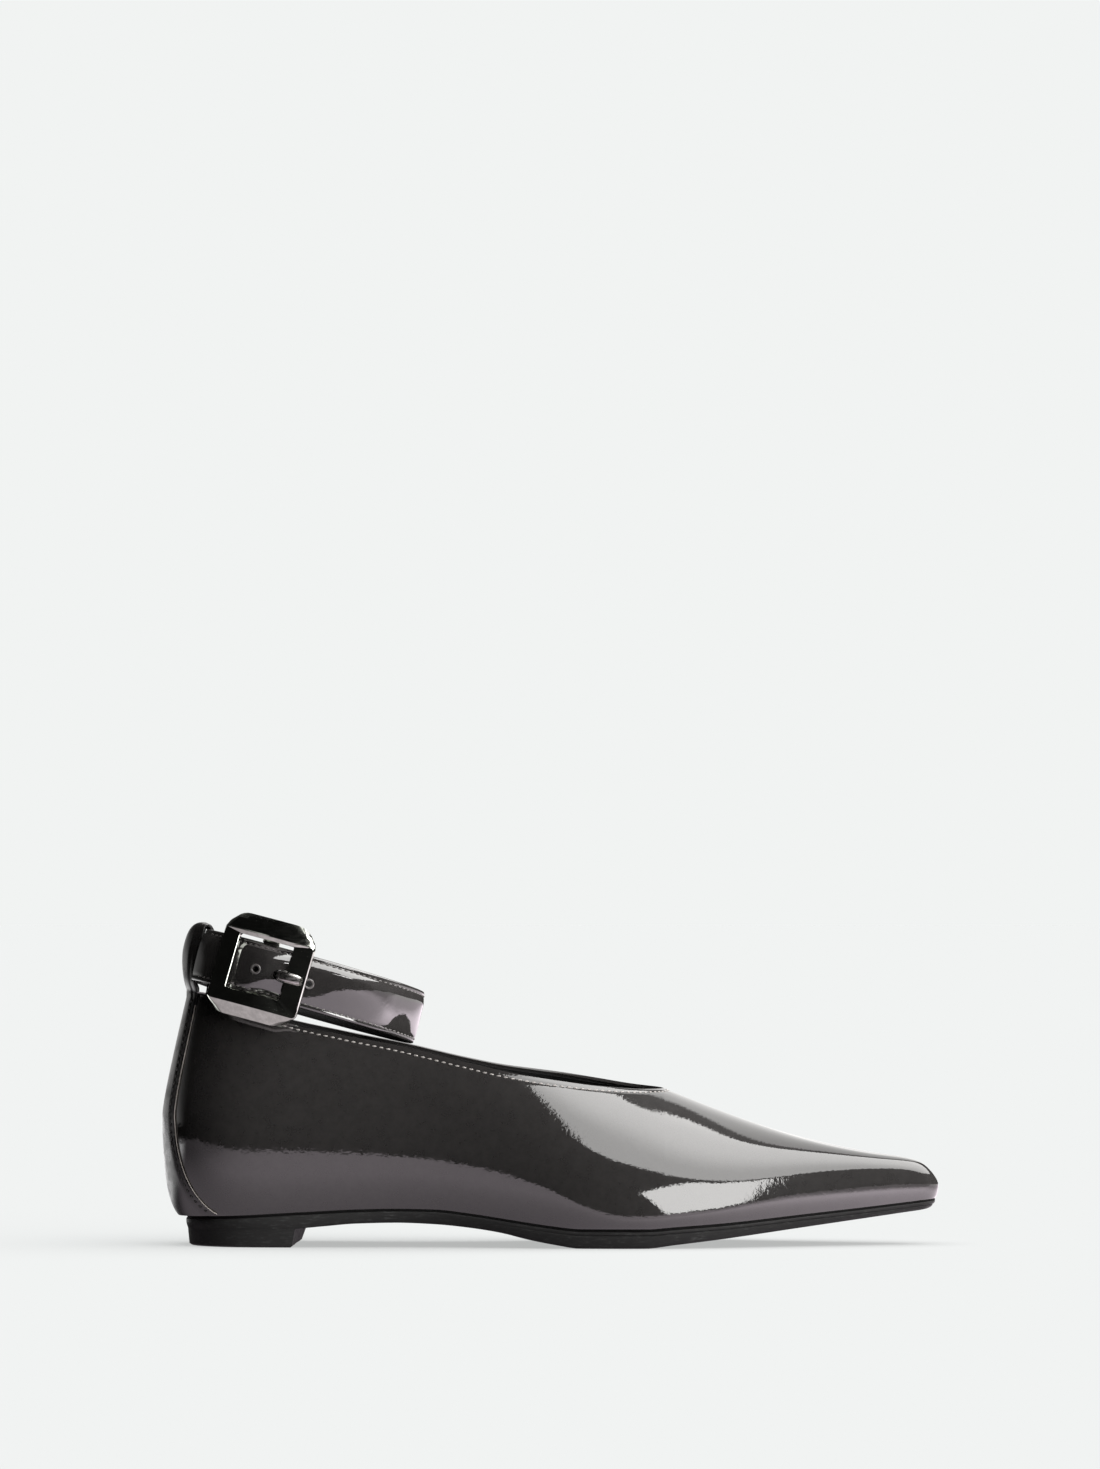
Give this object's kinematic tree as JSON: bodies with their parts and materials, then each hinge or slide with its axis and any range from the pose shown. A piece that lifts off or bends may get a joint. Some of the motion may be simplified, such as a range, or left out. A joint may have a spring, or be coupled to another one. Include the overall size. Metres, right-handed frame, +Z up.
{
  "type": "flat shoe",
  "caption": "Pointed-toe flat shoe for the right foot, with a high quarter, a low heel and an ankle strap held by a large frame buckle.",
  "frame": {"origin": "centre of the shoe's outline on the ground", "axes": "+X from the heel to the toe, +Y to the inner side of the foot, +Z up"},
  "size_m": [0.2699, 0.0758, 0.1157],
  "materials": {
    "outsole": "satin black",
    "heel_block": "satin black",
    "insole": "matt black",
    "upper": "dark pewter patent",
    "heel_strip": "dark pewter patent",
    "ankle_strap": "dark pewter patent",
    "buckle_frame": "polished black nickel",
    "buckle_prong": "polished black nickel"
  },
  "bodies": {
    "root": {"outsole": "outsole", "heel_block": "heel_block", "insole": "insole", "upper": "upper", "heel_strip": "heel_strip", "ankle_strap": "ankle_strap", "buckle_frame": "buckle_frame", "buckle_prong": "buckle_prong"}
  },
  "joints": []
}
